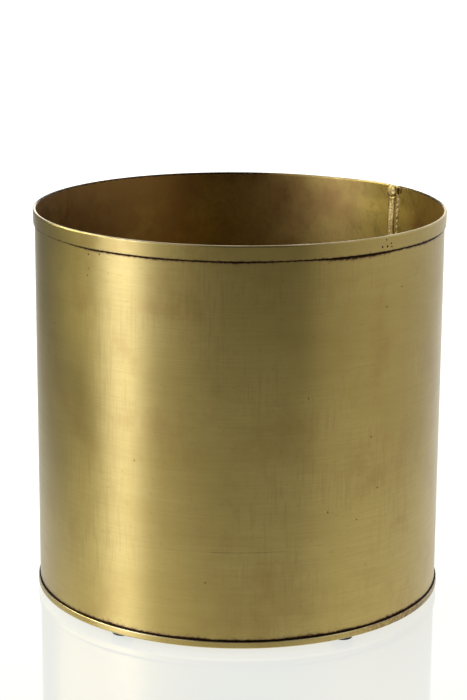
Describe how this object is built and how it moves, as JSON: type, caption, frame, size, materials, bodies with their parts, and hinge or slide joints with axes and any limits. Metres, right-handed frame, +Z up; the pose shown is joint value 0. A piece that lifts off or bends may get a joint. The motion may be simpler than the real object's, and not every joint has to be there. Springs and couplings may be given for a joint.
{
  "type": "round metal planter pot",
  "caption": "Straight-sided round brass planter pot with a folded rim, one brazed inside seam, a lipped base pan and low rubber feet.",
  "frame": {"origin": "on the pot's axis, in the plane of the feet's undersides, at the centre of the whole pot's plan outline", "axes": "+Z up along the pot's axis; the front of the pot faces -Y, and the brazed seam is inside at the back right, about 37 degrees from +X towards +Y"},
  "size_m": [0.303, 0.303, 0.2905],
  "materials": {
    "antique_brass": "satin, finely brushed round the pot, with a thin antique patina",
    "braze": "lumpy, filed in places, with dark patina in its edges",
    "foot_rubber": "matte black",
    "adhesive": "cloudy acrylic film"
  },
  "bodies": {
    "root": {"wall_sheet": "antique_brass", "base_pan": "antique_brass", "seam_bead": "braze", "edge_braze": "braze", "rim_lump": "braze", "corner_braze": "braze", "foot_1": "foot_rubber", "foot_2": "foot_rubber", "foot_3": "foot_rubber", "foot_4": "foot_rubber", "foot_5": "foot_rubber", "foot_adhesive_1": "adhesive", "foot_adhesive_2": "adhesive", "foot_adhesive_3": "adhesive", "foot_adhesive_4": "adhesive", "foot_adhesive_5": "adhesive"}
  },
  "joints": []
}
